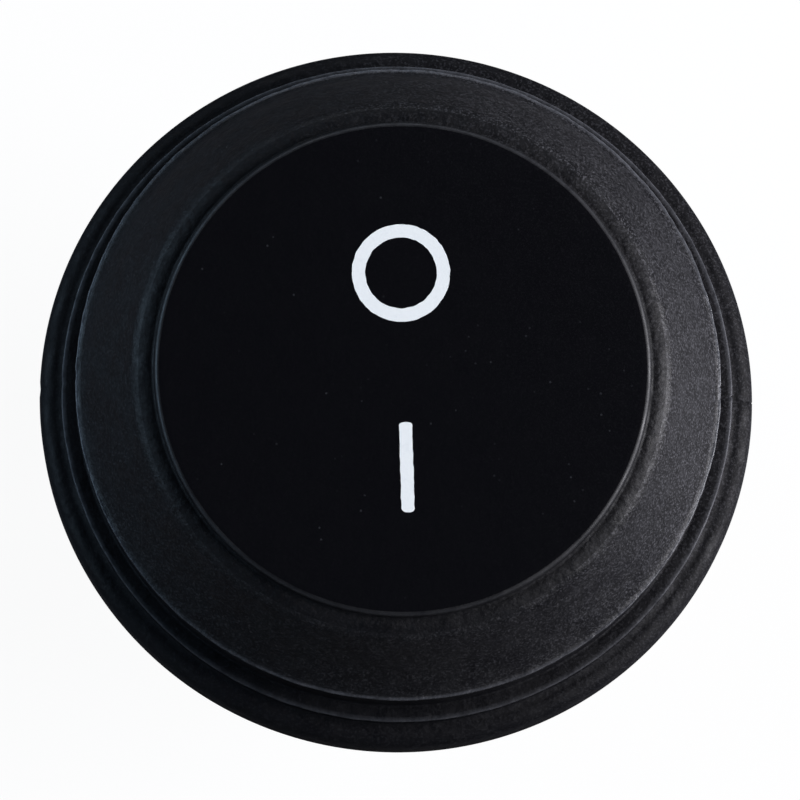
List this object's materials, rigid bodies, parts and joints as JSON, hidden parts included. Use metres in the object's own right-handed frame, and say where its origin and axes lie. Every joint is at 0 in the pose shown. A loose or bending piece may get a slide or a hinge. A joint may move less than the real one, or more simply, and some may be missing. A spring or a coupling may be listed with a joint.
{
  "type": "panel rocker switch",
  "caption": "Round sealed on-off rocker switch with a black rubber boot marked O and I, a tilting pressing disc, a snap-in barrel and flat tab terminals.",
  "frame": {"origin": "centre of the panel hole, on the face of the panel that the bezel lies on", "axes": "+Z out of the panel to the user, +Y to the O side of the rocker, +X to the right of the user"},
  "size_m": [0.023, 0.023, 0.0301],
  "materials": {
    "black_rubber": "fine matt grain",
    "black_nylon": "satin moulded",
    "rocker_nylon": "satin moulded",
    "natural_acetal": "smooth",
    "spring_steel": "drawn wire",
    "contact_brass": "rolled strip",
    "terminal_brass": "stamped strip",
    "silver": "satin"
  },
  "bodies": {
    "case": {"housing": "black_nylon", "boot": "black_rubber", "fixed_contact_left": "silver", "fixed_contact_right": "silver", "common_terminal_left": "terminal_brass", "common_terminal_right": "terminal_brass", "load_terminal_left": "terminal_brass", "load_terminal_right": "terminal_brass"},
    "rocker": {"rocker": "rocker_nylon", "plunger_spring_left": "spring_steel", "plunger_spring_right": "spring_steel"},
    "plunger_left": {"plunger_left": "natural_acetal"},
    "arm_left": {"contact_arm_left": "contact_brass", "moving_contact_left": "silver"},
    "plunger_right": {"plunger_right": "natural_acetal"},
    "arm_right": {"contact_arm_right": "contact_brass", "moving_contact_right": "silver"}
  },
  "joints": [
    {"name": "rocker_tilt", "type": "hinge", "parent": "case", "child": "rocker", "pos_m": [0, 0, 0.002], "axis": [-1, 0, 0], "range_deg": [0, 12], "deforming": ["boot"]},
    {"name": "arm_rock_left", "type": "hinge", "parent": "case", "child": "arm_left", "pos_m": [-0.0035, 0, -0.00765], "axis": [1, 0, 0], "range_deg": [0, 21]},
    {"name": "arm_rock_right", "type": "hinge", "parent": "case", "child": "arm_right", "pos_m": [0.0035, 0, -0.00765], "axis": [1, 0, 0], "range_deg": [0, 21]},
    {"name": "plunger_slide_left", "type": "slide", "parent": "rocker", "child": "plunger_left", "axis": [0, -0.1045, 0.9945], "range_m": [0, 0.001], "stiffness_N_per_m": 500, "springref_m": -0.002, "deforming": ["plunger_spring_left"]},
    {"name": "plunger_slide_right", "type": "slide", "parent": "rocker", "child": "plunger_right", "axis": [0, -0.1045, 0.9945], "range_m": [0, 0.001], "stiffness_N_per_m": 500, "springref_m": -0.002, "deforming": ["plunger_spring_right"]}
  ],
  "couplings": [
    {"joint": "arm_rock_left", "follows": "rocker_tilt", "ratio": 1.75},
    {"joint": "arm_rock_right", "follows": "rocker_tilt", "ratio": 1.75}
  ]
}
